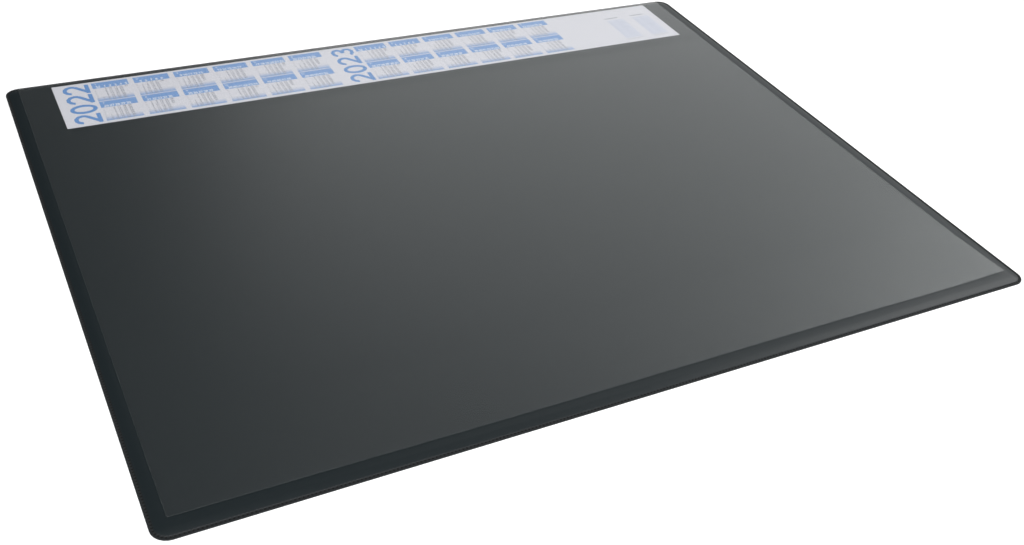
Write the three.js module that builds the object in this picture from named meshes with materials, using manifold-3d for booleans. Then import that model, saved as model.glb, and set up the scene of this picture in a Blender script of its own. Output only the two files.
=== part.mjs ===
// Desk mat with a two-year calendar strip under a clear overlay film.
// Millimetres. +X runs along the long side, +Y towards the calendar, +Z up.
// The origin is on the desk, under the centre of the mat.

import * as THREE from 'three';
import { mergeVertices } from 'three/addons/utils/BufferGeometryUtils.js';
import Module from 'manifold-3d';

// Mat
const MAT_WIDTH = 650;
const MAT_DEPTH = 520;
const CORNER_RADIUS = 10.5;
const BACKING_THICKNESS = 0.3;
const CORE_THICKNESS = 0.7;
const COVER_THICKNESS = 0.5;
const CORE_CLEARANCE = 0.3;

// Welded rim with its row of stitch marks
const LIP_WIDTH = 1.2;
const WELD_WIDTH = 1.0;
const WELD_DEPTH = 0.14;
const STITCH_PITCH = 2.45;
const STITCH_DEPTH = 0.22;
const EDGE_BEVEL = 0.2;
const SHOULDER_WIDTH = 1.5;
const CORNER_STITCHES = 6;
const STITCHES_PER_SECTION = 32;

// Calendar card and its print
const STRIP_DEPTH = 71.3;
const STRIP_THICKNESS = 0.25;
const STRIP_LEFT_INSET = 35.9;
const STRIP_RIGHT_INSET = 29.7;
const STRIP_BACK_INSET = 7;
const STRIP_TURN = 0.17;
const PRINT_THICKNESS = 0.05;

// Years on the card, measured from its lower left corner
const YEARS = ['2022', '2023'];
const YEAR_LEFT = 7;
const YEAR_BOTTOM = 3;
const YEAR_TOP = 3.2;
const YEAR_GAP = 9.3;
const NUMERAL_HEIGHT = 21.5;
const NUMERAL_GAP = 1.9;
const NUMERAL_STROKE = 3.4;
const NUMERAL_STEPS = 6;
const TWO_HOOK_ANGLE = 170;
const TWO_TURN_ANGLE = -30;
const THREE_HOOK_ANGLE = 160;
const THREE_WAIST_ANGLE = 100;

// Month tables on the card
const MONTH_COLUMNS = 6;
const MONTH_ROWS = 2;
const MONTH_GAP_AFTER_YEAR = 2.5;
const MONTH_GAP = 4.65;
const MONTH_ROW_GAP = 1.7;
const MONTH_BOTTOM = 3.3;
const MONTH_TOP = 2.7;
const HEADER_HEIGHT = 9.8;
const WEEKEND_HEIGHT = 4.5;
const WEEK_COLUMNS = 4;
const WEEK_COLUMN_WIDTH = 0.8;
const WEEKDAY_COLUMN = 8;

// Pale tables at the right end of the card, after a blank stretch
const BLANK_WIDTH = 62.2;
const TABLE_COUNT = 2;
const TABLE_WIDTH = 19;
const TABLE_BOTTOM = 9;
const TABLE_TOP = 22.3;
const TABLE_RIGHT_MARGIN = 8;
const TABLE_GAP = 11;

// Overlay film
const FILM_THICKNESS = 0.3;
const FILM_LEFT_INSET = 10.5;
const FILM_RIGHT_INSET = 12;
const FILM_FRONT_INSET = 14;
const FILM_BACK_INSET = 0.3;
const FILM_AIR_GAP = 0.1;
const FILM_STRIP_MARGIN = 1.5;
const FILM_RAMP = 14;
const FILM_FRONT_RUN = 70;
const FILM_FRONT_LIFT = 0.9;
const FILM_WAVE = 0.5;
const FILM_WAVE_LENGTH = 450;
const FILM_WAVE_CREST = 145;
const FILM_CORNER_RUN = 75;
const FILM_CORNER_LIFT = 1.9;
const FILM_COLUMNS = 18;
const FILM_RAMP_STEPS = 3;
const FILM_FIELD_STEPS = 2;
const FILM_FRONT_STEPS = 5;

const MAT_TOP = BACKING_THICKNESS + CORE_THICKNESS + COVER_THICKNESS;
const RIM_TOP = BACKING_THICKNESS + COVER_THICKNESS;
const WELD_FLOOR = RIM_TOP - WELD_DEPTH;
const WELD_INNER = LIP_WIDTH + WELD_WIDTH;
const SHOULDER_INNER = WELD_INNER + SHOULDER_WIDTH;
const STRIP_WIDTH = MAT_WIDTH - STRIP_LEFT_INSET - STRIP_RIGHT_INSET;
const NUMERALS_SPAN = STRIP_DEPTH - YEAR_BOTTOM - YEAR_TOP;
const NUMERAL_WIDTH = (NUMERALS_SPAN + NUMERAL_GAP) / YEARS[0].length - NUMERAL_GAP;
const MONTHS_SPAN = STRIP_DEPTH - MONTH_BOTTOM - MONTH_TOP;
const MONTH_HEIGHT = (MONTHS_SPAN + MONTH_ROW_GAP) / MONTH_ROWS - MONTH_ROW_GAP;
const TABLE_HEIGHT = STRIP_DEPTH - TABLE_BOTTOM - TABLE_TOP;
const TABLES_SPAN = TABLE_RIGHT_MARGIN + TABLE_COUNT * (TABLE_WIDTH + TABLE_GAP) - TABLE_GAP;
const YEARS_SPAN = STRIP_WIDTH - YEAR_LEFT - BLANK_WIDTH - TABLES_SPAN;
const YEAR_PITCH = (YEARS_SPAN + YEAR_GAP) / YEARS.length;
const MONTH_LEFT = NUMERAL_HEIGHT + MONTH_GAP_AFTER_YEAR;
const MONTH_PITCH = (YEAR_PITCH - YEAR_GAP - MONTH_LEFT + MONTH_GAP) / MONTH_COLUMNS;
const MONTH_WIDTH = MONTH_PITCH - MONTH_GAP;
const PRINT_TOP = MAT_TOP + STRIP_THICKNESS + PRINT_THICKNESS;

const wasm = await Module();
wasm.setup();

// Stations along the outline, counterclockwise, one at each end of every stitch mark.
// Each has a place on the outline, the outward direction, and says if a section is there.
function outlineStations() {
  const halfX = MAT_WIDTH / 2 - CORNER_RADIUS;
  const halfY = MAT_DEPTH / 2 - CORNER_RADIUS;
  const centres = [[halfX, halfY], [-halfX, halfY], [-halfX, -halfY], [halfX, -halfY]];
  const stations = [];
  centres.forEach(([cx, cy], corner) => {
    for (let k = 0; k < CORNER_STITCHES; k++) {
      const angle = (corner + k / CORNER_STITCHES) * Math.PI / 2;
      stations.push(station(cx, cy, angle, true));
    }
    const angle = (corner + 1) * Math.PI / 2;
    const [nx, ny] = centres[(corner + 1) % centres.length];
    const count = Math.round(Math.hypot(nx - cx, ny - cy) / STITCH_PITCH);
    for (let k = 0; k < count; k++) {
      const t = k / count;
      stations.push(station(cx + (nx - cx) * t, cy + (ny - cy) * t, angle, k % STITCHES_PER_SECTION === 0));
    }
  });
  return stations;
}

function station(cx, cy, angle, section) {
  const out = new THREE.Vector2(Math.cos(angle), Math.sin(angle));
  return { x: cx + out.x * CORNER_RADIUS, y: cy + out.y * CORNER_RADIUS, out, section };
}

const STATIONS = outlineStations();
const ALL = STATIONS.map((_, k) => k);
const SECTIONS = ALL.filter((k) => STATIONS[k].section);

// A ring of points at one distance inside the outline and one height.
function ring(points, inset, z, indices = SECTIONS) {
  const start = points.length;
  for (const k of indices) {
    const { x, y, out } = STATIONS[k];
    points.push([x - out.x * inset, y - out.y * inset, z]);
  }
  return { start, indices };
}

// Joins two rings all the way round, also where one of them has more points.
function strip(faces, a, b) {
  const total = STATIONS.length;
  const place = (r, k) => (k < r.indices.length ? r.indices[k] : total);
  const vertex = (r, k) => r.start + (k % r.indices.length);
  let i = 0;
  let j = 0;
  while (i < a.indices.length || j < b.indices.length) {
    const stepA = i < a.indices.length && (j === b.indices.length || place(a, i + 1) <= place(b, j + 1));
    if (stepA) {
      faces.push([vertex(a, i), vertex(a, i + 1), vertex(b, j)]);
      i++;
    } else {
      faces.push([vertex(a, i), vertex(b, j + 1), vertex(b, j)]);
      j++;
    }
  }
}

// Closes a flat ring with one face, looking up or down.
function cap(points, faces, r, up) {
  const contour = r.indices.map((_, k) => new THREE.Vector2(...points[r.start + k].slice(0, 2)));
  for (const [a, b, c] of THREE.ShapeUtils.triangulateShape(contour, [])) {
    const corners = [r.start + a, r.start + b, r.start + c];
    faces.push(up ? corners : corners.reverse());
  }
}

// The stitch marks: each cell between two fine rings sinks to one point.
function stitchMarks(points, faces, outer, inner, depth) {
  const total = STATIONS.length;
  for (let k = 0; k < total; k++) {
    const next = (k + 1) % total;
    const cell = [outer.start + k, outer.start + next, inner.start + next, inner.start + k];
    const middle = [0, 1].map((axis) => cell.reduce((sum, v) => sum + points[v][axis], 0) / cell.length);
    const pit = points.length;
    points.push([...middle, depth]);
    cell.forEach((v, side) => faces.push([v, cell[(side + 1) % cell.length], pit]));
  }
}

function geometryOf(points, faces) {
  const geometry = new THREE.BufferGeometry();
  geometry.setAttribute('position', new THREE.Float32BufferAttribute(points.flat(), 3));
  geometry.setIndex(faces.flat());
  return geometry;
}

// A plain layer with the mat's outline, set back by an inset.
function layer(inset, bottom, top) {
  const points = [];
  const faces = [];
  const low = ring(points, inset, bottom);
  const high = ring(points, inset, top);
  cap(points, faces, low, false);
  strip(faces, low, high);
  cap(points, faces, high, true);
  return geometryOf(points, faces);
}

// The top sheet: flat over the core, down a short shoulder to the welded rim.
function coverSheet() {
  const points = [];
  const faces = [];
  const underside = BACKING_THICKNESS + CORE_THICKNESS;
  const coreEdge = SHOULDER_INNER + CORE_CLEARANCE;
  const outerRings = [
    ring(points, coreEdge, underside),
    ring(points, coreEdge - COVER_THICKNESS, BACKING_THICKNESS),
    ring(points, 0, BACKING_THICKNESS),
    ring(points, 0, RIM_TOP - EDGE_BEVEL),
    ring(points, EDGE_BEVEL, RIM_TOP),
    ring(points, LIP_WIDTH, WELD_FLOOR, ALL),
  ];
  const innerRings = [
    ring(points, WELD_INNER, WELD_FLOOR, ALL),
    ring(points, WELD_INNER + SHOULDER_WIDTH * 0.3, RIM_TOP + (MAT_TOP - RIM_TOP) * 0.35),
    ring(points, WELD_INNER + SHOULDER_WIDTH * 0.65, MAT_TOP - (MAT_TOP - RIM_TOP) * 0.12),
    ring(points, SHOULDER_INNER, MAT_TOP),
  ];
  for (const rings of [outerRings, innerRings]) {
    rings.slice(1).forEach((r, k) => strip(faces, rings[k], r));
  }
  stitchMarks(points, faces, outerRings.at(-1), innerRings[0], WELD_FLOOR - STITCH_DEPTH);
  cap(points, faces, outerRings[0], false);
  cap(points, faces, innerRings.at(-1), true);
  return geometryOf(points, faces);
}

function rectangle(width, height, x = 0, y = 0) {
  const shape = new THREE.Shape();
  shape.moveTo(x, y);
  shape.lineTo(x + width, y);
  shape.lineTo(x + width, y + height);
  shape.lineTo(x, y + height);
  shape.closePath();
  return shape;
}

function extruded(shape, thickness, curveSegments = NUMERAL_STEPS) {
  return new THREE.ExtrudeGeometry(shape, { depth: thickness, bevelEnabled: false, curveSegments });
}

// A line of even width along a plane curve.
function ribbon(curve, width, steps) {
  const left = [];
  const right = [];
  for (let k = 0; k <= steps; k++) {
    const p = curve.getPoint(k / steps);
    const t = curve.getTangent(k / steps);
    left.push(new THREE.Vector2(p.x - t.y * width / 2, p.y + t.x * width / 2));
    right.push(new THREE.Vector2(p.x + t.y * width / 2, p.y - t.x * width / 2));
  }
  return new THREE.Shape([...right, ...left.reverse()]);
}

function toSolid(geometry) {
  const bare = geometry.clone();
  bare.deleteAttribute('normal');
  bare.deleteAttribute('uv');
  const merged = mergeVertices(bare, 1e-5);
  return new wasm.Manifold(new wasm.Mesh({
    numProp: 3,
    vertProperties: new Float32Array(merged.attributes.position.array),
    triVerts: new Uint32Array(merged.index.array),
  }));
}

function fromSolid(solid) {
  const mesh = solid.getMesh();
  const geometry = new THREE.BufferGeometry();
  geometry.setAttribute('position', new THREE.BufferAttribute(mesh.vertProperties, mesh.numProp));
  geometry.setIndex(new THREE.BufferAttribute(mesh.triVerts, 1));
  return geometry;
}

function joined(shapes) {
  const solids = shapes.map((shape) => toSolid(extruded(shape, PRINT_THICKNESS)));
  return fromSolid(solids.slice(1).reduce((sum, solid) => sum.add(solid), solids[0]));
}

// One month is a plate with windows cut out of it, which leaves the header field, the weekend
// field, a narrow rule for the weekdays and a bar for each week. The last window is open to the right.
function monthTable() {
  const weekPitch = (MONTH_WIDTH - WEEKDAY_COLUMN) / WEEK_COLUMNS;
  const bars = [0];
  for (let k = 0; k < WEEK_COLUMNS; k++) bars.push(WEEKDAY_COLUMN + (k + 0.5) * weekPitch);
  const windowHeight = MONTH_HEIGHT - HEADER_HEIGHT - WEEKEND_HEIGHT;
  const windows = bars.map((bar, k) => {
    const left = bar + WEEK_COLUMN_WIDTH;
    const right = bars[k + 1] ?? MONTH_WIDTH + WEEK_COLUMN_WIDTH;
    return rectangle(right - left, windowHeight, left, WEEKEND_HEIGHT);
  });
  const plate = toSolid(extruded(rectangle(MONTH_WIDTH, MONTH_HEIGHT), PRINT_THICKNESS));
  return fromSolid(windows.reduce((solid, hole) => solid.subtract(cutter(hole)), plate));
}

// A cutter reaches one print thickness past both faces.
function cutter(shape) {
  return toSolid(extruded(shape, PRINT_THICKNESS * 3).translate(0, 0, -PRINT_THICKNESS));
}

const STROKE_X = (NUMERAL_WIDTH - NUMERAL_STROKE) / 2;
const MIDDLE_X = NUMERAL_WIDTH / 2;

// A clockwise bowl of a numeral, between two angles in degrees.
function bowlCurve(cy, ry, from, to) {
  const { degToRad } = THREE.MathUtils;
  return new THREE.EllipseCurve(MIDDLE_X, cy, STROKE_X, ry, degToRad(from), degToRad(to), true);
}

// Each numeral stands upright in its own box, its strokes inside the box.
const NUMERALS = {
  0: () => {
    const ellipse = (path, inset) => {
      const rx = MIDDLE_X - inset;
      const ry = NUMERAL_HEIGHT / 2 - inset;
      return path.absellipse(MIDDLE_X, NUMERAL_HEIGHT / 2, rx, ry, 0, Math.PI * 2);
    };
    const outer = ellipse(new THREE.Shape(), 0);
    outer.holes.push(ellipse(new THREE.Path(), NUMERAL_STROKE));
    return extruded(outer, PRINT_THICKNESS, NUMERAL_STEPS * 2);
  },
  2: () => {
    const bowlY = NUMERAL_HEIGHT - NUMERAL_STROKE / 2 - STROKE_X;
    const bowl = bowlCurve(bowlY, STROKE_X, TWO_HOOK_ANGLE, TWO_TURN_ANGLE);
    const end = bowl.getPoint(1);
    const foot = new THREE.Vector2(NUMERAL_STROKE / 2, NUMERAL_STROKE / 2);
    const diagonal = new THREE.LineCurve(end, foot);
    return joined([
      ribbon(bowl, NUMERAL_STROKE, NUMERAL_STEPS),
      ribbon(diagonal, NUMERAL_STROKE, 1),
      rectangle(NUMERAL_WIDTH, NUMERAL_STROKE),
    ]);
  },
  3: () => {
    const radius = (NUMERAL_HEIGHT - NUMERAL_STROKE) / 4;
    const middle = NUMERAL_HEIGHT / 2;
    const upper = bowlCurve(middle + radius, radius, THREE_HOOK_ANGLE, -THREE_WAIST_ANGLE);
    const lower = bowlCurve(middle - radius, radius, THREE_WAIST_ANGLE, -THREE_HOOK_ANGLE);
    return joined([upper, lower].map((bowl) => ribbon(bowl, NUMERAL_STROKE, NUMERAL_STEPS)));
  },
};

// Height of the film's underside above the desk.
function filmUnderside(x, y) {
  const smooth = THREE.MathUtils.smoothstep;
  const back = MAT_DEPTH / 2 - y;
  if (back <= WELD_INNER) return RIM_TOP;
  const overStrip = PRINT_TOP + FILM_AIR_GAP;
  const field = MAT_TOP + FILM_AIR_GAP;
  const between = (from, to, start, end) => from + (to - from) * (back - start) / (end - start);
  if (back <= FILM_KNEE) return between(RIM_TOP, field, WELD_INNER, FILM_KNEE);
  if (back <= FILM_CREST) return between(field, overStrip, FILM_KNEE, FILM_CREST);
  const base = overStrip + (field - overStrip) * smooth(back, FILM_STRIP_END, FILM_STRIP_END + FILM_RAMP);
  const front = Math.max(0, 1 - (y - FILM_FRONT) / FILM_FRONT_RUN);
  const wave = FILM_WAVE * Math.cos((x - FILM_WAVE_CREST) / FILM_WAVE_LENGTH * Math.PI * 2);
  const corner = Math.max(0, 1 - (Math.hypot(FILM_RIGHT - x, y - FILM_FRONT)) / FILM_CORNER_RUN);
  return base + (FILM_FRONT_LIFT + wave) * front ** 2 + FILM_CORNER_LIFT * corner ** 2;
}

const FILM_LEFT = FILM_LEFT_INSET - MAT_WIDTH / 2;
const FILM_RIGHT = MAT_WIDTH / 2 - FILM_RIGHT_INSET;
const FILM_FRONT = FILM_FRONT_INSET - MAT_DEPTH / 2;
const FILM_KNEE = WELD_INNER + SHOULDER_WIDTH * 0.55;
const FILM_CREST = SHOULDER_INNER + FILM_STRIP_MARGIN;
const FILM_STRIP_END = STRIP_BACK_INSET + STRIP_DEPTH + FILM_STRIP_MARGIN;

// Distances from the mat's back edge at which the film is sampled.
function filmRows() {
  const frontStart = MAT_DEPTH - FILM_FRONT_INSET - FILM_FRONT_RUN;
  const rampEnd = FILM_STRIP_END + FILM_RAMP;
  const rows = [FILM_BACK_INSET, WELD_INNER, FILM_KNEE, FILM_CREST];
  const addSteps = (from, to, steps) => {
    for (let k = 0; k < steps; k++) rows.push(from + (to - from) * k / steps);
  };
  addSteps(FILM_STRIP_END, rampEnd, FILM_RAMP_STEPS);
  addSteps(rampEnd, frontStart, FILM_FIELD_STEPS);
  addSteps(frontStart, MAT_DEPTH - FILM_FRONT_INSET, FILM_FRONT_STEPS);
  rows.push(MAT_DEPTH - FILM_FRONT_INSET);
  return rows;
}

// The film: a grid for the underside, the same grid one thickness higher, and four edges.
function overlayFilm() {
  const rows = filmRows();
  const columns = FILM_COLUMNS + 1;
  const points = [];
  const faces = [];
  for (const lift of [0, FILM_THICKNESS]) {
    for (const back of rows) {
      for (let k = 0; k < columns; k++) {
        const x = FILM_LEFT + (FILM_RIGHT - FILM_LEFT) * k / FILM_COLUMNS;
        const y = MAT_DEPTH / 2 - back;
        points.push([x, y, filmUnderside(x, y) + lift]);
      }
    }
  }
  const upper = rows.length * columns;
  const quad = (a, b, c, d) => faces.push([a, b, c], [a, c, d]);
  for (let r = 0; r + 1 < rows.length; r++) {
    for (let k = 0; k < FILM_COLUMNS; k++) {
      const a = r * columns + k;
      const b = a + columns;
      quad(a, a + 1, b + 1, b);
      quad(upper + a, upper + b, upper + b + 1, upper + a + 1);
    }
    const left = r * columns;
    const right = left + FILM_COLUMNS;
    quad(left, left + columns, upper + left + columns, upper + left);
    quad(right + columns, right, upper + right, upper + right + columns);
  }
  const front = (rows.length - 1) * columns;
  for (let k = 0; k < FILM_COLUMNS; k++) {
    quad(k + 1, k, upper + k, upper + k + 1);
    quad(front + k, front + k + 1, upper + front + k + 1, upper + front + k);
  }
  return geometryOf(points, faces);
}

// Colours as the eye sees them, with roughness.
const BLACK_PLASTIC = { color: '#26292b', roughness: 0.55 };
const BLACK_FOAM = { color: '#1d1e1f', roughness: 0.95 };
const CARD = { color: '#d9d8de', roughness: 0.8 };
const BLUE_INK = { color: '#6a92c6', roughness: 0.7 };
const PALE_INK = { color: '#c9cade', roughness: 0.7 };
const CLEAR_FILM = { color: '#c4c9c9', roughness: 0.35, transparent: true, opacity: 0.3 };

function part(name, geometry, finish, parent) {
  const mesh = new THREE.Mesh(geometry, new THREE.MeshStandardMaterial({ metalness: 0, ...finish }));
  mesh.name = name;
  parent.add(mesh);
  return mesh;
}

function calendarPrint(card) {
  YEARS.forEach((year, index) => {
    const left = YEAR_LEFT + index * YEAR_PITCH;
    [...year].forEach((digit, place) => {
      const name = `numeral_${year}_${place + 1}`;
      const numeral = part(name, NUMERALS[digit](), BLUE_INK, card);
      numeral.rotation.z = Math.PI / 2;
      numeral.position.set(left + NUMERAL_HEIGHT, YEAR_BOTTOM + place * (NUMERAL_WIDTH + NUMERAL_GAP), 0);
    });
    for (let month = 0; month < MONTH_COLUMNS * MONTH_ROWS; month++) {
      const column = month % MONTH_COLUMNS;
      const row = MONTH_ROWS - 1 - Math.floor(month / MONTH_COLUMNS);
      const name = `month_${year}_${String(month + 1).padStart(2, '0')}`;
      const table = part(name, monthTable(), BLUE_INK, card);
      table.position.x = left + MONTH_LEFT + column * MONTH_PITCH;
      table.position.y = MONTH_BOTTOM + row * (MONTH_HEIGHT + MONTH_ROW_GAP);
    }
  });
  for (let k = 0; k < TABLE_COUNT; k++) {
    const field = extruded(rectangle(TABLE_WIDTH, TABLE_HEIGHT), PRINT_THICKNESS);
    const table = part(`pale_table_${k + 1}`, field, PALE_INK, card);
    const fromRight = TABLE_RIGHT_MARGIN + TABLE_WIDTH + (TABLE_COUNT - 1 - k) * (TABLE_WIDTH + TABLE_GAP);
    table.position.set(STRIP_WIDTH - fromRight, TABLE_BOTTOM, 0);
  }
}

const deskMat = new THREE.Group();
part('backing_sheet', layer(0, 0, BACKING_THICKNESS), BLACK_FOAM, deskMat);
const coreInset = SHOULDER_INNER + CORE_CLEARANCE * 2;
const coreTop = BACKING_THICKNESS + CORE_THICKNESS;
part('foam_core', layer(coreInset, BACKING_THICKNESS, coreTop), BLACK_FOAM, deskMat);
part('cover_sheet', coverSheet(), BLACK_PLASTIC, deskMat);

const card = new THREE.Group();
const cardCentreY = MAT_DEPTH / 2 - STRIP_BACK_INSET - STRIP_DEPTH / 2;
card.position.set((STRIP_LEFT_INSET - STRIP_RIGHT_INSET) / 2, cardCentreY, MAT_TOP);
card.rotation.z = THREE.MathUtils.degToRad(STRIP_TURN);
const print = new THREE.Group();
print.position.set(-STRIP_WIDTH / 2, -STRIP_DEPTH / 2, STRIP_THICKNESS);
card.add(print);
deskMat.add(card);
const cardOutline = rectangle(STRIP_WIDTH, STRIP_DEPTH, -STRIP_WIDTH / 2, -STRIP_DEPTH / 2);
part('calendar_strip', extruded(cardOutline, STRIP_THICKNESS), CARD, card);
calendarPrint(print);
part('clear_overlay', overlayFilm(), CLEAR_FILM, deskMat);

export default deskMat;
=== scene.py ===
"""A desk mat with a two-year calendar card under a clear matt film, dressed for a studio picture.

Metres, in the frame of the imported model: +X along the long side, +Y towards the calendar, +Z up.
"""
import calendar
import datetime
import math

import bpy
import numpy as np
from mathutils import Matrix, Vector


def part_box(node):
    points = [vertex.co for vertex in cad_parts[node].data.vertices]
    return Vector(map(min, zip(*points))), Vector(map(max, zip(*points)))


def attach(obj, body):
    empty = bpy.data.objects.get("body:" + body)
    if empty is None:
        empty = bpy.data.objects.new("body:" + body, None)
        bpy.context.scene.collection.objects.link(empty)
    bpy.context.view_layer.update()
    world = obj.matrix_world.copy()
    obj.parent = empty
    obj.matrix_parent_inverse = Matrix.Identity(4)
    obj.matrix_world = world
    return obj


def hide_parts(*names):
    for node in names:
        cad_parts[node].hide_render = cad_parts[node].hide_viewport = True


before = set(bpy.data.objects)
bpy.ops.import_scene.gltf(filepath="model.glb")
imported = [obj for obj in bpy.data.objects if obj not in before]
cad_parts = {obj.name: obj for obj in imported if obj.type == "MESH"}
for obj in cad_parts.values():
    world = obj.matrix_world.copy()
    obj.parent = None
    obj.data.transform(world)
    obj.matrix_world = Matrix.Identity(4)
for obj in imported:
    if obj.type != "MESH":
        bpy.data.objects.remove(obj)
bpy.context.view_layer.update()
MM = 0.001

# Camera, from the four straight edges of the mat in the photograph
CAMERA_PLACE = (-0.3771, -0.7014, 0.5084)
CAMERA_AIM = (-0.0184, -0.1193, 0.0)
CAMERA_ROLL = math.radians(6.71)
CAMERA_LENS = 41.71
CAMERA_SENSOR = 36
CAMERA_SHIFT = (-0.0297, 0.0)

# Mat, with the outline and the layers of the solids
CORNER_RADIUS = 10.5 * MM
BACKING = 0.3 * MM
CORE = 0.7 * MM
COVER = 0.5 * MM
RIM_TOP = BACKING + COVER
MAT_TOP = BACKING + CORE + COVER
STITCH_PITCH = 2.45 * MM
CORNER_STITCHES = 6
SAMPLES_PER_STITCH = 5

# Cover: the weld and its marks are broader and deeper than in the solid, and the shoulder is
# softer, so that they read as in the photograph, where a pixel is about a millimetre
LIP = 0.9 * MM
WELD = 1.6 * MM
WELD_INNER = LIP + WELD
WELD_DEPTH = 0.14 * MM
STITCH_DEPTH = 0.3 * MM
SHOULDER = 6.0 * MM
SHOULDER_INNER = WELD_INNER + SHOULDER
UNDERSIDE_EDGE = 4.0 * MM
EDGE_ROUND = 0.2 * MM
TOP_RINGS = np.array([0.9, 1.1, 1.35, 1.6, 1.8, 2.05, 2.3, 2.5, 3.1, 4.0, 5.2, 6.8]) * MM

# Card and print
CARD_TURN = math.radians(0.17)
CARD_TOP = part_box("calendar_strip")[1].z
INK = 0.05 * MM
INK_PROUD = 0.03 * MM
HEADER = 9.8 * MM
WEEKEND = 7.3 * MM
RULE = 1.0 * MM
RULE_GAP = 0.05 * MM
RULE_FADE = 0.5
FADE_UV_WIDTH = 100 * MM

# Figures: places are measured from the lower left corner of a month
FIRST_WEEK = 4.8 * MM
WEEK_PITCH = 4.4 * MM
LAST_ROW = 0.5 * MM
ROW_PITCH = 3.07 * MM
DATE_HEIGHT = 2.2 * MM
DATE_WEIGHT = 0.36 * MM
DASH_LEFT = 0.5 * MM
WEEK_ROW = 22.9 * MM
WEEK_HEIGHT = 2.9 * MM
WEEK_WEIGHT = 0.55 * MM
MONTH_NUMBER_PLACE = (2.6 * MM, 28.0 * MM)
MONTH_NUMBER_HEIGHT = 2.5 * MM
MONTH_NUMBER_WEIGHT = 0.3 * MM
DASH = 10
TENS_STEP = 0.66
MITRE_LIMIT = 0.45

# Pale tables. A column of bars has a left end, a middle length, the swing of its length, and
# the angle's step and start for the cosine that the swing follows. A line below a table has its
# depth under the table and its share of the table's width.
TABLES = ("pale_table_1", "pale_table_2")
TABLE_ROWS = 13
TABLE_FOOT = 1.6 * MM
TABLE_SPARE = 2 * MM
BAR_HEIGHT = 0.55 * MM
BAR_COLUMNS = [(1.2 * MM, 2.2 * MM, 0.9 * MM, 2.4, 0), (8.2 * MM, 6.5 * MM, 2.6 * MM, 1.7, 1)]
HEADING_GAP = 3.2 * MM
HEADING_HEIGHT = 1.5 * MM
HEADING_SHARE = 0.8
LINE_HEIGHT = 0.3 * MM
LINES_BELOW = [(1.6 * MM, 1.0), (3.2 * MM, 0.7)]

# Film, as in the solids
FILM_THICKNESS = 0.3 * MM
FILM_WELD = 2.2 * MM
FILM_KNEE = 3.025 * MM
FILM_CREST = 5.2 * MM
FILM_MARGIN = 1.5 * MM
FILM_AIR = 0.1 * MM
FILM_RAMP = 14 * MM
FILM_FRONT_RUN = 70 * MM
FILM_FRONT_LIFT = 0.9 * MM
FILM_WAVE = 0.5 * MM
FILM_WAVE_LENGTH = 450 * MM
FILM_WAVE_CREST = 145 * MM
FILM_CORNER_RUN = 75 * MM
FILM_CORNER_LIFT = 1.9 * MM

# The film's grid is denser along the front, the card's edge and the weld: the depths are
# measured from the back edge, and each share is that of the rows in front of its place
FILM_COLUMNS = 150
FILM_ROWS = 120
FILM_ROW_DEPTHS = (100 * MM, 70 * MM, 6 * MM, 0)
FILM_ROW_SHARES = (0, 0.3, 0.42, 0.7, 0.75, 1)
FILM_EDGE_ROW = 0.1 * MM

# Colours and light
BLUE = "#80a4d6"
PAPER = "#dcd9e0"
FILM_GLOSS = 0.04
FILM_EDGE_GLOSS = 0.2
ROOM = 0.05
FLOOR_GLOW = 0.25
FLOOR_SIZE = 8
WHITE_FROM = 0.9
WHITE_TO = 2.0

# Input and output numbers of a colour Mix node
MIX_FACTOR = 0
MIX_FIRST = 6
MIX_SECOND = 7
MIX_RESULT = 2


def rgb(text):
    """The linear colour, with alpha 1, of an sRGB hex value such as #1f2426."""
    parts = [int(text[k:k + 2], 16) / 255 for k in (1, 3, 5)]
    linear = (c / 12.92 if c <= 0.04045 else ((c + 0.055) / 1.055) ** 2.4 for c in parts)
    return tuple(linear) + (1.0,)


def smoothstep(t):
    """0 up to t = 0 and 1 from t = 1 on, with 3 t squared less 2 t cubed between them."""
    t = np.clip(t, 0, 1)
    return t * t * (3 - 2 * t)


def camera():
    """The camera at its place, turned to its aim and rolled about its own line of sight."""
    data = bpy.data.cameras.new("camera")
    data.lens = CAMERA_LENS
    data.sensor_width = CAMERA_SENSOR
    data.shift_x, data.shift_y = CAMERA_SHIFT
    data.clip_start = 0.01
    obj = bpy.data.objects.new("camera", data)
    bpy.context.scene.collection.objects.link(obj)
    look = Vector(CAMERA_AIM) - Vector(CAMERA_PLACE)
    turn = look.to_track_quat("-Z", "Y").to_matrix() @ Matrix.Rotation(CAMERA_ROLL, 3, "Z")
    obj.matrix_world = Matrix.Translation(CAMERA_PLACE) @ turn.to_4x4()
    bpy.context.scene.camera = obj


camera()


def mesh_piece(name, points, faces, finish, smooth=True):
    """A mesh object at the origin from an array of points and a list of face arrays."""
    mesh = bpy.data.meshes.new(name)
    mesh.from_pydata(points.tolist(), [], [f for block in faces for f in block.tolist()])
    mesh.polygons.foreach_set("use_smooth", np.full(len(mesh.polygons), smooth))
    mesh.validate()
    mesh.update()
    obj = bpy.data.objects.new(name, mesh)
    bpy.context.scene.collection.objects.link(obj)
    mesh.materials.append(finish)
    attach(obj, "root")
    return obj


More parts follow.
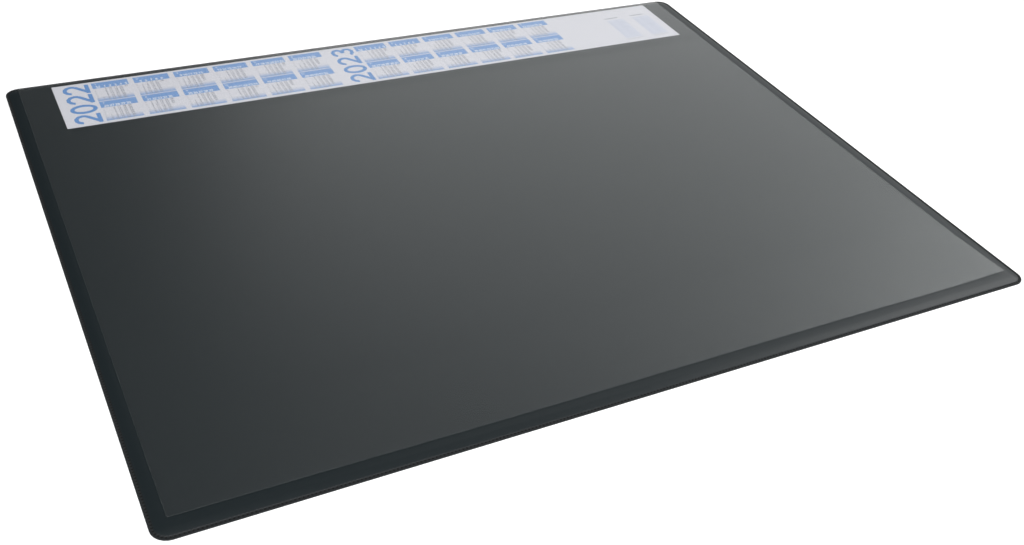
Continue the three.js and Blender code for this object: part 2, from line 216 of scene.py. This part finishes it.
def outline(inset):
    """Points and outward directions all round the mat at one inset, counterclockwise.

    Each corner is a quarter circle and each side a straight line, sampled several times in
    each stitch. The third value is the place within the stitch, from 0 to 1.
    """
    low, high = (np.array(v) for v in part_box("cover_sheet"))
    half = (high - low)[:2] / 2 - CORNER_RADIUS
    centres = np.array([[1, 1], [-1, 1], [-1, -1], [1, -1]]) * half
    corner_samples = CORNER_STITCHES * SAMPLES_PER_STITCH
    places, outs = [], []
    for k, centre in enumerate(centres):
        angle = (k + np.arange(corner_samples) / corner_samples) * math.pi / 2
        places.append(np.tile(centre, (corner_samples, 1)))
        outs.append(np.stack([np.cos(angle), np.sin(angle)], 1))
        following = centres[(k + 1) % 4]
        stitches = round(float(np.linalg.norm(following - centre)) / STITCH_PITCH)
        side_samples = stitches * SAMPLES_PER_STITCH
        t = np.arange(side_samples)[:, None] / side_samples
        angle = (k + 1) * math.pi / 2
        places.append(centre + (following - centre) * t)
        outs.append(np.tile([math.cos(angle), math.sin(angle)], (side_samples, 1)))
    places, outs = np.concatenate(places), np.concatenate(outs)
    phase = (np.arange(len(places)) % SAMPLES_PER_STITCH) / SAMPLES_PER_STITCH
    return places + outs * (CORNER_RADIUS - inset), outs, phase


def across_weld(inset):
    """1 in the middle of the weld, falling evenly to 0 at both of its sides."""
    return np.clip(1 - np.abs(inset - LIP - WELD / 2) / (WELD / 2), 0, 1)


def stitch_mark(inset, phase):
    """1 in the middle of each stitch mark and 0 between the marks: one soft dot in each stitch.

    It is a smooth step of the place across the weld, times a smooth step of the cosine of the
    place along the stitch, which makes mark and gap equally long.
    """
    along = smoothstep(0.5 - 1.2 * np.cos(phase * 2 * math.pi))
    return smoothstep(across_weld(inset) * 2.2) * along


def cover_height(inset, phase):
    """Height of the cover's top at one inset from the outline.

    The rim is level, the weld is a shallow round-bottomed groove in it, each stitch mark sinks
    once per stitch in the middle of the groove, and the shoulder climbs at once from the weld
    and levels out by the power 1.5 of what is left of its width.
    """
    groove = WELD_DEPTH * smoothstep(across_weld(inset) * 2)
    mark = STITCH_DEPTH * stitch_mark(inset, phase)
    left = np.clip(1 - (inset - WELD_INNER) / SHOULDER, 0, 1)
    return RIM_TOP - groove - mark + (MAT_TOP - RIM_TOP) * (1 - left ** 1.5)


def rim_shade_and_dullness(inset, phase):
    """Share of painted shade and of dullness: half from the cut edge to the weld, and wholly in the
    marks.

    The painted shade stands in for the shade in the stitch marks and along the cut edge, and the
    dullness is a rougher finish.
    """
    edge = 1 - smoothstep((inset / WELD_INNER - 0.8) / 0.5)
    return 0.5 * edge + 0.5 * stitch_mark(inset, phase)


def ring_faces(rows, columns):
    """Quads between rows of points that each run all the way round."""
    r, c = np.meshgrid(np.arange(rows - 1), np.arange(columns), indexing="ij")
    a, b = r * columns + c, r * columns + (c + 1) % columns
    return np.stack([a, b, b + columns, a + columns], -1).reshape(-1, 4)


def embossed_cover(finish):
    """The cover sheet: rings of points from the underside round the cut edge and over the weld.

    One flat face closes the underside over the core, and one is the field inside the shoulder.
    """
    underside = BACKING + CORE
    _, _, phase = outline(0)
    flat = np.zeros_like(phase)
    edge = [(UNDERSIDE_EDGE, underside), (UNDERSIDE_EDGE - COVER, BACKING), (0, BACKING),
            (0, RIM_TOP - EDGE_ROUND), (0.3 * EDGE_ROUND, RIM_TOP - 0.3 * EDGE_ROUND),
            (EDGE_ROUND, RIM_TOP)]
    rings = [(inset, flat + z) for inset, z in edge]
    rings += [(inset, cover_height(inset, phase)) for inset in TOP_RINGS]
    rings.append((SHOULDER_INNER, flat + MAT_TOP))
    points = np.concatenate([np.column_stack([outline(inset)[0], z]) for inset, z in rings])
    count = len(phase)
    faces = [ring_faces(len(rings), count), np.arange(count)[None, ::-1],
             np.arange(count)[None] + (len(rings) - 1) * count]
    cover = mesh_piece("embossed_cover", points, faces, finish)
    # Share of painted shade and dullness at each point: the painted shade blackens the stitch marks
    # and the cut edge
    shade_and_dullness = np.concatenate([rim_shade_and_dullness(inset, phase) for inset, _ in rings])
    shade_and_dullness_share = cover.data.attributes.new("shade_and_dullness", "FLOAT", "POINT")
    shade_and_dullness_share.data.foreach_set("value", shade_and_dullness)
    shades = np.full(len(cover.data.polygons), True)
    shades[-2:] = False
    cover.data.polygons.foreach_set("use_smooth", shades)
    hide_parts("cover_sheet")


def film_underside(x, y):
    """Height of the film's underside.

    From the back it lies on the rim, climbs in two straight runs over the shoulder to the card,
    and goes down to the mat in a smooth step past the card. Along the front it leaves the mat
    again by the square of the place in the run, in one long wave from left to right, and at the
    right corner by the square of the nearness to the corner as well.
    """
    low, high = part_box("clear_overlay")
    strip_low, strip_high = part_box("calendar_strip")
    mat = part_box("cover_sheet")[1].y
    back = mat - y
    over_card = CARD_TOP + INK + FILM_AIR
    field = MAT_TOP + FILM_AIR
    card_end = mat - (strip_low.y + strip_high.y) / 2 + CARD_DEPTH / 2 + FILM_MARGIN
    base = over_card + (field - over_card) * smoothstep((back - card_end) / FILM_RAMP)
    knee = field + (over_card - field) * (back - FILM_KNEE) / (FILM_CREST - FILM_KNEE)
    rise = RIM_TOP + (field - RIM_TOP) * (back - FILM_WELD) / (FILM_KNEE - FILM_WELD)
    base = np.where(back <= FILM_CREST, knee, base)
    base = np.where(back <= FILM_KNEE, rise, base)
    base = np.where(back <= FILM_WELD, RIM_TOP, base)
    front = np.clip(1 - (y - low.y) / FILM_FRONT_RUN, 0, None)
    wave = FILM_WAVE * np.cos((x - FILM_WAVE_CREST) / FILM_WAVE_LENGTH * 2 * math.pi)
    corner = np.clip(1 - np.hypot(high.x - x, y - low.y) / FILM_CORNER_RUN, 0, None)
    return base + (FILM_FRONT_LIFT + wave) * front ** 2 + FILM_CORNER_LIFT * corner ** 2


def film_sheet(finish, edge_finish):
    """The film: a grid over its rectangle for the underside, the same grid one thickness higher
    for the top, and a band round the cut edge.

    The first line of the grid inside each edge lies close to it, so that the averaged normals of
    the edge light only a narrow strip.
    """
    low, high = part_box("clear_overlay")
    x = np.linspace(low.x, high.x, FILM_COLUMNS)
    x[[1, -2]] = low.x + FILM_EDGE_ROW, high.x - FILM_EDGE_ROW
    bends = [low.y, low.y + FILM_FRONT_RUN, *(high.y - depth for depth in FILM_ROW_DEPTHS)]
    y = np.interp(np.linspace(0, 1, FILM_ROWS), FILM_ROW_SHARES, bends)
    y[[1, -2]] = low.y + FILM_EDGE_ROW, high.y - FILM_EDGE_ROW
    gx, gy = np.meshgrid(x, y)
    under = film_underside(gx, gy)
    points = np.concatenate([np.stack([gx, gy, under + lift], -1).reshape(-1, 3)
                             for lift in (0, FILM_THICKNESS)])
    r, c = np.meshgrid(np.arange(FILM_ROWS - 1), np.arange(FILM_COLUMNS - 1), indexing="ij")
    a = (r * FILM_COLUMNS + c).ravel()
    quads = np.stack([a, a + 1, a + 1 + FILM_COLUMNS, a + FILM_COLUMNS], 1)
    top = FILM_ROWS * FILM_COLUMNS
    along, up = np.arange(FILM_COLUMNS - 1), np.arange(FILM_ROWS - 1) * FILM_COLUMNS
    rim = np.concatenate([along, up + FILM_COLUMNS - 1, top - 1 - along, top - FILM_COLUMNS - up])
    following = np.roll(rim, -1)
    band = np.stack([rim, following, following + top, rim + top], 1)
    faces = [quads[:, ::-1], quads + top, band]
    film = mesh_piece("clear_film", points, faces, finish)
    film.data.materials.append(edge_finish)
    slots = np.concatenate([np.zeros(len(quads) * 2, int), np.ones(len(band), int)])
    film.data.polygons.foreach_set("material_index", slots)
    film.data.polygons.foreach_set("use_smooth", slots == 0)
    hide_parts("clear_overlay")


def turned_rectangle(node):
    """Lower left corner, width and height of a rectangle on the turned card, from its node's box.

    The box of a turned rectangle is its width and height, each times the cosine, plus the other
    times the sine, and the two equations are solved for width and height.
    """
    low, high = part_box(node)
    sine, cosine = math.sin(CARD_TURN), math.cos(CARD_TURN)
    a, b = high.x - low.x, high.y - low.y
    spread = cosine ** 2 - sine ** 2
    width, height = (a * cosine - b * sine) / spread, (b * cosine - a * sine) / spread
    return np.array([low.x + height * sine, low.y]), width, height


CARD_DEPTH = turned_rectangle("calendar_strip")[2]
CARD_AXES = np.array([[math.cos(CARD_TURN), math.sin(CARD_TURN)],
                      [-math.sin(CARD_TURN), math.cos(CARD_TURN)]])
MONTHS = [name for name in sorted(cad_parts) if name.startswith("month_")]
MONTH_CORNER = {name: turned_rectangle(name)[0] for name in MONTHS}
_, MONTH_WIDTH, MONTH_HEIGHT = turned_rectangle(MONTHS[0])


def on_card(origin, local):
    """Places flat points, measured along the card from a corner on it, in the frame."""
    return origin + local @ CARD_AXES


def slabs(corners, sizes, low, high):
    """Flat closed boxes, one for each corner and size: rectangles on the turned card, swept up."""
    unit = np.array([[0, 0], [1, 0], [1, 1], [0, 1]])
    flat = corners[:, None] + (unit * sizes[:, None]) @ CARD_AXES
    levels = [np.concatenate([flat, np.full(flat.shape[:2] + (1,), z)], 2) for z in (low, high)]
    box = np.array([[3, 2, 1, 0], [4, 5, 6, 7], [0, 1, 5, 4],
                    [1, 2, 6, 5], [2, 3, 7, 6], [3, 0, 4, 7]])
    faces = (box + 8 * np.arange(len(corners))[:, None, None]).reshape(-1, 4)
    return np.concatenate(levels, 1).reshape(-1, 3), faces


def month_fields(finish):
    """Each month's blue heading, its weekend band that fades upwards, and a thin line between rows.

    The fade is carried by the second UV value: 0 is full ink and 1 is bare card.
    """
    corners = np.array([MONTH_CORNER[name] for name in MONTHS])
    count = len(corners)
    head = on_card(corners, np.array([[0, MONTH_HEIGHT - HEADER]]))
    lower = corners[[int(name[-2:]) > 6 for name in MONTHS]]
    line = on_card(lower, np.array([[0, MONTH_HEIGHT + RULE_GAP]]))
    origin = np.concatenate([head, corners, line])
    size = np.repeat([[MONTH_WIDTH, HEADER], [MONTH_WIDTH, WEEKEND], [MONTH_WIDTH, RULE]],
                     [count, count, len(lower)], axis=0)
    points, faces = slabs(origin, size, CARD_TOP, CARD_TOP + INK)
    fields = mesh_piece("month_fields", points, [faces], finish, smooth=False)
    fade = np.zeros((len(origin), 8))
    fade[count:2 * count, [2, 3, 6, 7]] = 1
    fade[2 * count:] = RULE_FADE
    corner = np.empty(len(fields.data.loops), int)
    fields.data.loops.foreach_get("vertex_index", corner)
    places = np.stack([points[corner, 0] / FADE_UV_WIDTH, fade.ravel()[corner]], 1)
    fields.data.uv_layers.new(name="fade").data.foreach_set("uv", places.ravel())
    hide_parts(*MONTHS)


def arc(x, y, across, up, start, end, steps):
    """Points on an ellipse about (x, y) with two half axes, between two angles in degrees."""
    angle = np.radians(np.linspace(start, end, steps))
    return np.stack([x + across * np.cos(angle), y + up * np.sin(angle)], 1)


def glyphs():
    """Centre lines of the ten figures in a box 0.5 wide and 1 high, and a dash as the eleventh."""
    stem = np.array([[0.4, 1], [0.13, 0.74], [0.01, 0.36]])
    six = [arc(0.25, 0.31, 0.24, 0.31, 100, 460, 11), stem]
    return [
        [arc(0.25, 0.5, 0.25, 0.5, 90, 450, 13)],
        [np.array([[0.1, 0.78], [0.32, 1], [0.32, 0]])],
        [np.concatenate([arc(0.25, 0.73, 0.24, 0.27, 165, -35, 7), [[0, 0], [0.5, 0]]])],
        [arc(0.24, 0.745, 0.21, 0.255, 150, -90, 7), arc(0.24, 0.255, 0.26, 0.255, 90, -150, 7)],
        [np.array([[0.38, 0], [0.38, 1], [0, 0.3], [0.5, 0.3]])],
        [np.concatenate([[[0.46, 1], [0.1, 1]], arc(0.23, 0.33, 0.26, 0.33, 130, -140, 7)])],
        six,
        [np.array([[0, 1], [0.48, 1], [0.16, 0]])],
        [arc(0.25, 0.755, 0.2, 0.245, -90, 270, 9), arc(0.25, 0.26, 0.25, 0.26, 90, 450, 9)],
        [np.array([0.5, 1]) - path for path in six],
        [np.array([[0, 0.5], [0.62, 0.5]])],
    ]


def ribbon(path, width):
    """A flat closed band along a path, at levels 0 and 1.

    Each point of the path gives one point to its left and one to its right, half a width away
    and mitred at the bends, and both again on the upper level.
    """
    legs = np.diff(path, axis=0)
    legs /= np.linalg.norm(legs, axis=1)[:, None]
    before, after = np.vstack([legs[:1], legs]), np.vstack([legs, legs[-1:]])
    along = before + after
    along /= np.linalg.norm(along, axis=1)[:, None]
    reach = width / 2 / np.clip((along * before).sum(1), MITRE_LIMIT, 1)
    side = np.stack([-along[:, 1], along[:, 0]], 1) * reach[:, None]
    ring = np.stack([path + side, path - side, path - side, path + side], 1)
    level = np.tile([0.0, 0.0, 1.0, 1.0], (len(path), 1))[..., None]
    points = np.concatenate([ring, level], 2).reshape(-1, 3)
    k, j = np.meshgrid(np.arange(len(path) - 1), np.arange(4), indexing="ij")
    a, b = 4 * k + j, 4 * k + (j + 1) % 4
    sides = np.stack([a, a + 4, b + 4, b], -1).reshape(-1, 4)
    end = 4 * (len(path) - 1)
    return points, np.vstack([sides, [[0, 1, 2, 3]], [[end + 3, end + 2, end + 1, end]]])


def stamp(name, rows, height, weight, finish):
    """Every figure in rows of (figure, x, y): its ribbon is added to each of its places."""
    points, faces, base = [], [], 0
    for figure, strokes in enumerate(glyphs()):
        places = rows[rows[:, 0] == figure, 1:]
        for path in strokes:
            body, quads = ribbon(path * height, weight)
            flat = places[:, None] + body[None, :, :2] @ CARD_AXES
            level = CARD_TOP + body[:, 2] * (INK + INK_PROUD)
            level = np.broadcast_to(level[None, :, None], flat.shape[:2] + (1,))
            points.append(np.concatenate([flat, level], 2).reshape(-1, 3))
            shift = base + len(body) * np.arange(len(places))
            faces.append((quads + shift[:, None, None]).reshape(-1, 4))
            base += len(body) * len(places)
    mesh_piece(name, np.concatenate(points), faces, finish, smooth=False)


def figures(values, x, y, height):
    """Numbers as rows of (figure, x, y): ones at x, and tens one step to the left."""
    ones = np.stack([values % 10, x, y], 1)
    tens = np.stack([values // 10, x - TENS_STEP * height, y], 1)
    return np.concatenate([tens[values >= 10], ones])


def month_rows(name):
    """The dates and dashes, the week numbers and the month's own number, placed in one month.

    A date's column is its place in the month, counted from the Monday on or before the first,
    divided by seven, and its row is what is left over, with Monday at the top.
    """
    year, month = (int(part) for part in name.split("_")[1:])
    first, days = calendar.monthrange(year, month)
    day = np.arange(1, days + 1)
    place = day + first - 1
    rows = LAST_ROW + ROW_PITCH * (6 - np.arange(7))
    dates = figures(day, FIRST_WEEK + WEEK_PITCH * (place // 7), rows[place % 7], DATE_HEIGHT)
    dashes = np.stack([np.full(7, DASH), np.full(7, DASH_LEFT), rows], 1)
    weeks = np.arange((days + first + 6) // 7)
    first_day = np.clip(1 - first + 7 * weeks, 1, None)
    numbers = np.array([datetime.date(year, month, int(d)).isocalendar()[1] for d in first_day])
    columns = FIRST_WEEK + WEEK_PITCH * weeks
    heads = figures(numbers, columns, np.full(len(weeks), WEEK_ROW), WEEK_HEIGHT)
    x, y = np.array(MONTH_NUMBER_PLACE)[:, None]
    own = figures(np.array([month]), x, y, MONTH_NUMBER_HEIGHT)

    def placed(table):
        return np.column_stack([table[:, 0], on_card(MONTH_CORNER[name], table[:, 1:])])

    return placed(np.concatenate([dates, dashes])), placed(heads), placed(own)


def small_print(finish, heading_finish):
    """Rows of short bars in each pale table, a bar above the table and two thin lines below it."""
    bars, heads = [], []
    row = np.arange(TABLE_ROWS)
    for node in TABLES:
        corner, width, height = turned_rectangle(node)
        y = TABLE_FOOT + row * (height - TABLE_SPARE) / TABLE_ROWS
        for left, middle, swing, step, start in BAR_COLUMNS:
            origin = on_card(corner, np.stack([np.full(TABLE_ROWS, left), y], 1))
            length = middle + swing * np.cos(row * step + start)
            bars.append(np.column_stack([origin, length, np.full(TABLE_ROWS, BAR_HEIGHT)]))
        marks = [[0, height + HEADING_GAP, width * HEADING_SHARE, HEADING_HEIGHT]]
        marks += [[0, -below, width * share, LINE_HEIGHT] for below, share in LINES_BELOW]
        marks = np.array(marks)
        heads.append(np.column_stack([on_card(corner, marks[:, :2]), marks[:, 2:]]))
    for name, marks, height, ink in (("table_rows", bars, INK + INK_PROUD, finish),
                                     ("table_headings", heads, INK, heading_finish)):
        marks = np.concatenate(marks)
        points, faces = slabs(marks[:, :2], marks[:, 2:], CARD_TOP, CARD_TOP + height)
        mesh_piece(name, points, [faces], ink, smooth=False)


def add_node(tree, kind, settings=(), links=(), values=()):
    """Adds a shader node, sets its properties and inputs, and links (socket, input) pairs into it.

    An input is called by its label, or by its number where inputs share a label.
    """
    node = tree.nodes.new(kind)
    for name, value in dict(settings).items():
        setattr(node, name, value)
    for target, value in dict(values).items():
        node.inputs[target].default_value = value
    for source, target in links:
        tree.links.new(source, node.inputs[target])
    return node


def new_material(name):
    """A material, its node tree and the surface input that its last shader goes into."""
    made = bpy.data.materials.new(name)
    made.use_nodes = True
    tree = made.node_tree
    tree.nodes.clear()
    output = add_node(tree, "ShaderNodeOutputMaterial")
    return made, tree, output.inputs["Surface"]


def grain(tree, scale_mm, depth_mm):
    """The normal of a fine bump, from noise whose cells are scale_mm across and depth_mm deep."""
    place = add_node(tree, "ShaderNodeTexCoord")
    noise = add_node(tree, "ShaderNodeTexNoise", links=[(place.outputs["Object"], "Vector")],
                     values={"Scale": 1 / (scale_mm * MM), "Detail": 2.0, "Roughness": 0.55})
    bump = add_node(tree, "ShaderNodeBump", links=[(noise.outputs["Fac"], "Height")],
                    values={"Strength": 1.0, "Distance": depth_mm * MM})
    return bump.outputs["Normal"]


def mottled(tree, first, second, scale_mm):
    """A colour that wanders between two hex values in patches about scale_mm across."""
    place = add_node(tree, "ShaderNodeTexCoord")
    noise = add_node(tree, "ShaderNodeTexNoise", links=[(place.outputs["Object"], "Vector")],
                     values={"Scale": 1 / (scale_mm * MM), "Detail": 3.0, "Roughness": 0.6})
    mix = add_node(tree, "ShaderNodeMix", {"data_type": "RGBA"},
                   [(noise.outputs["Fac"], MIX_FACTOR)],
                   {MIX_FIRST: rgb(first), MIX_SECOND: rgb(second)})
    return mix.outputs[MIX_RESULT]


def matt_finish(name, first, second, patch_mm, tooth_mm, depth_mm, roughness):
    """A matt material: a mottled colour, a fine bump and one roughness."""
    made, tree, surface = new_material(name)
    shader = add_node(tree, "ShaderNodeBsdfPrincipled", links=[
        (mottled(tree, first, second, patch_mm), "Base Color"),
        (grain(tree, tooth_mm, depth_mm), "Normal")], values={"Roughness": roughness})
    tree.links.new(shader.outputs[0], surface)
    return made


def embossed_plastic():
    """Calendered black plastic sheet with a leather grain, melted along its weld.

    To the eye it is a faintly cool, dull black that greys where light grazes it. Along the rim it
    is duller and painted near black as painted shade, most of all in the stitch marks. The real
    grain is finer than a pixel, so it is drawn at 1.6 mm.
    """
    made, tree, surface = new_material("embossed_black_plastic_sheet")
    shade_and_dullness_share = add_node(tree, "ShaderNodeAttribute", {"attribute_name": "shade_and_dullness"}).outputs["Fac"]
    # Painted shade: by that share the colour goes to near black in the stitch marks and along the
    # cut edge
    colour = add_node(tree, "ShaderNodeMix", {"data_type": "RGBA"},
                      [(shade_and_dullness_share, MIX_FACTOR), (mottled(tree, "#141c1f", "#182023", 6), MIX_FIRST)],
                      {MIX_SECOND: rgb("#020202")})
    dullness = add_node(tree, "ShaderNodeMapRange", links=[(shade_and_dullness_share, "Value")],
                        values={"To Min": 0.4, "To Max": 0.95})
    shader = add_node(tree, "ShaderNodeBsdfPrincipled", links=[
        (colour.outputs[MIX_RESULT], "Base Color"), (dullness.outputs[0], "Roughness"),
        (grain(tree, 1.6, 0.006), "Normal")], values={"IOR": 1.45})
    tree.links.new(shader.outputs[0], surface)
    return made


def matt_film(edge=False):
    """Rolled clear film with a matt face, and its cut edge.

    To the eye it is what lies under it, with a soft glow over it wherever a lamp is opposite.
    The share of the glow is a small constant plus the fifth power of how far the face turns
    away, so it grows towards grazing view. Patches of 4 mm make the glow faintly uneven. The cut
    edge scatters light, so its share is higher and its glow is grey.
    """
    made, tree, surface = new_material("matt_clear_film_edge" if edge else "matt_clear_film")
    turn = add_node(tree, "ShaderNodeLayerWeight", values={"Blend": 0.5})
    power = add_node(tree, "ShaderNodeMath", {"operation": "POWER"},
                     [(turn.outputs["Facing"], 0)], {1: 5})
    share = add_node(tree, "ShaderNodeMath", {"operation": "MULTIPLY_ADD"}, [(power.outputs[0], 0)],
                     {1: 1 - FILM_GLOSS, 2: FILM_EDGE_GLOSS if edge else FILM_GLOSS})
    clear = add_node(tree, "ShaderNodeBsdfTransparent", values={"Color": rgb("#fbfcfc")})
    place = add_node(tree, "ShaderNodeTexCoord")
    cloud = add_node(tree, "ShaderNodeTexNoise", links=[(place.outputs["Object"], "Vector")],
                     values={"Scale": 1 / (4 * MM)})
    dullness = add_node(tree, "ShaderNodeMapRange", links=[(cloud.outputs["Fac"], "Value")],
                        values={"To Min": 0.34, "To Max": 0.42})
    glow = add_node(tree, "ShaderNodeBsdfPrincipled", links=[(dullness.outputs[0], "Roughness")],
                    values={"Metallic": 0.0 if edge else 1.0,
                            "Base Color": rgb("#9aa09f" if edge else "#fafbfb")})
    mix = add_node(tree, "ShaderNodeMixShader", links=[
        (share.outputs[0], 0), (clear.outputs[0], 1), (glow.outputs[0], 2)])
    tree.links.new(mix.outputs[0], surface)
    return made


def fading_ink():
    """Offset blue ink on card: flat light blue that thins to bare card up the weekend bands.

    The second UV value, to the power 0.75, is the share of bare card. The tooth of the card is
    drawn at 0.3 mm, coarser than real fibres.
    """
    made, tree, surface = new_material("offset_blue_ink_on_card")
    place = add_node(tree, "ShaderNodeUVMap", {"uv_map": "fade"})
    split = add_node(tree, "ShaderNodeSeparateXYZ", links=[(place.outputs["UV"], "Vector")])
    ease = add_node(tree, "ShaderNodeMath", {"operation": "POWER"}, [(split.outputs["Y"], 0)],
                    {1: 0.75})
    colour = add_node(tree, "ShaderNodeMix", {"data_type": "RGBA"}, [(ease.outputs[0], MIX_FACTOR)],
                      {MIX_FIRST: rgb(BLUE), MIX_SECOND: rgb(PAPER)})
    shader = add_node(tree, "ShaderNodeBsdfPrincipled", links=[
        (colour.outputs[MIX_RESULT], "Base Color"), (grain(tree, 0.3, 0.01), "Normal")],
        values={"Roughness": 0.8})
    tree.links.new(shader.outputs[0], surface)
    return made


def offset_ink(name, first, second):
    """Offset ink on card: a flat matt colour, faintly uneven, with the card's tooth in it."""
    return matt_finish(name, first, second, 1.2, 0.3, 0.01, 0.8)


def floor():
    """A wide sweep of studio paper under the mat, matt and pale, that takes the mat's shadow.

    Its share of plain white, seen by the camera only, is a smooth step of the distance from the
    middle, so that the picture ends in white all round.
    """
    bpy.ops.mesh.primitive_plane_add(size=FLOOR_SIZE, location=(0, 0, 0))
    ground = bpy.context.object
    ground.name = "floor"
    made, tree, surface = new_material("matt_white_studio_paper")
    shader = add_node(tree, "ShaderNodeBsdfPrincipled", values={
        "Base Color": rgb("#f4f4f5"), "Roughness": 0.95, "Specular IOR Level": 0.1,
        "Emission Color": rgb("#ffffff"), "Emission Strength": FLOOR_GLOW})
    place = add_node(tree, "ShaderNodeTexCoord")
    away = add_node(tree, "ShaderNodeVectorMath", {"operation": "LENGTH"},
                    [(place.outputs["Object"], 0)])
    far = add_node(tree, "ShaderNodeMapRange", {"interpolation_type": "SMOOTHSTEP"},
                   [(away.outputs["Value"], "Value")],
                   {"From Min": WHITE_FROM, "From Max": WHITE_TO})
    path = add_node(tree, "ShaderNodeLightPath")
    share = add_node(tree, "ShaderNodeMath", {"operation": "MULTIPLY"},
                     [(far.outputs[0], 0), (path.outputs["Is Camera Ray"], 1)])
    white = add_node(tree, "ShaderNodeEmission", values={"Strength": 1})
    mix = add_node(tree, "ShaderNodeMixShader", links=[
        (share.outputs[0], 0), (shader.outputs[0], 1), (white.outputs[0], 2)])
    tree.links.new(mix.outputs[0], surface)
    ground.data.materials.append(made)


def softbox(name, azimuth, elevation, distance, size, power):
    """A square lamp aimed at the middle of the mat; azimuth is from +Y towards +X, in degrees."""
    data = bpy.data.lights.new(name, "AREA")
    data.shape, data.size, data.energy = "SQUARE", size, power
    lamp = bpy.data.objects.new(name, data)
    bpy.context.scene.collection.objects.link(lamp)
    a, e = math.radians(azimuth), math.radians(elevation)
    level = math.cos(e)
    lamp.location = Vector((math.sin(a) * level, math.cos(a) * level, math.sin(e))) * distance
    lamp.rotation_euler = (-lamp.location).to_track_quat("-Z", "Y").to_euler()


def surroundings():
    """A dim even room for the light, and plain white where the camera looks past the floor."""
    world = bpy.data.worlds.new("studio")
    bpy.context.scene.world = world
    world.use_nodes = True
    tree = world.node_tree
    tree.nodes.clear()
    output = add_node(tree, "ShaderNodeOutputWorld")
    path = add_node(tree, "ShaderNodeLightPath")
    room = add_node(tree, "ShaderNodeBackground",
                    values={"Color": rgb("#f2f6fa"), "Strength": ROOM})
    white = add_node(tree, "ShaderNodeBackground",
                     values={"Color": rgb("#ffffff"), "Strength": 1})
    mix = add_node(tree, "ShaderNodeMixShader", links=[
        (path.outputs["Is Camera Ray"], 0), (room.outputs[0], 1), (white.outputs[0], 2)])
    tree.links.new(mix.outputs[0], output.inputs["Surface"])


def give(nodes, finish):
    """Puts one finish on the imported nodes."""
    for name in nodes:
        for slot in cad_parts[name].material_slots:
            slot.material = finish


# Mat and film
embossed_cover(embossed_plastic())
film_sheet(matt_film(), matt_film(edge=True))

# Rolled black plastic: near black, and matt from the fine tooth of its anti-slip face
give(["backing_sheet"],
     matt_finish("rolled_black_plastic_sheet", "#1c1e1f", "#232627", 9, 0.9, 0.03, 0.6))

# Cut foam: open cells, so it is dull and uneven without any gloss
give(["foam_core"], matt_finish("cut_black_foam", "#1b1c1d", "#242526", 0.4, 0.25, 0.05, 0.9))

# Uncoated card: faintly lilac white, softly clouded, with a tooth of fibres that is drawn at
# 0.3 mm, coarser than real
give(["calendar_strip"],
     matt_finish("uncoated_white_card", PAPER, "#e2dfe5", 3, 0.3, 0.01, 0.85))

# Print
month_fields(fading_ink())
dates, weeks, own = (np.concatenate(part) for part in zip(*(month_rows(name) for name in MONTHS)))
bare_card = offset_ink("bare_card_figures", "#e9ebf1", "#f0f1f5")
stamp("date_figures", dates, DATE_HEIGHT, DATE_WEIGHT,
      offset_ink("offset_grey_ink", "#9a9ba4", "#a4a5ae"))
stamp("week_figures", weeks, WEEK_HEIGHT, WEEK_WEIGHT, bare_card)
stamp("month_figures", own, MONTH_NUMBER_HEIGHT, MONTH_NUMBER_WEIGHT, bare_card)
small_print(offset_ink("offset_lilac_grey_ink", "#b9bacb", "#c1c2d1"),
            offset_ink("offset_heading_grey_ink", "#a3a5ad", "#adafb7"))
give([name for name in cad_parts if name.startswith("numeral_")],
     offset_ink("offset_deep_blue_ink", "#6a94cb", "#6d9ad1"))
give(TABLES, offset_ink("offset_pale_lilac_ink", "#d1d2e0", "#d6d7e3"))

# Studio: one lamp behind the right corner gives the film its glow, one at the right brightens
# its front corner, and the one in front and above lights the card
floor()
softbox("back_right_softbox", 38, 18, 2.2, 2.2, 12.2)
softbox("right_softbox", 86, 38, 2.2, 1.2, 15.5)
softbox("front_softbox", 205, 60, 3.0, 3.0, 116)
surroundings()
bpy.context.scene.view_settings.view_transform = "Standard"
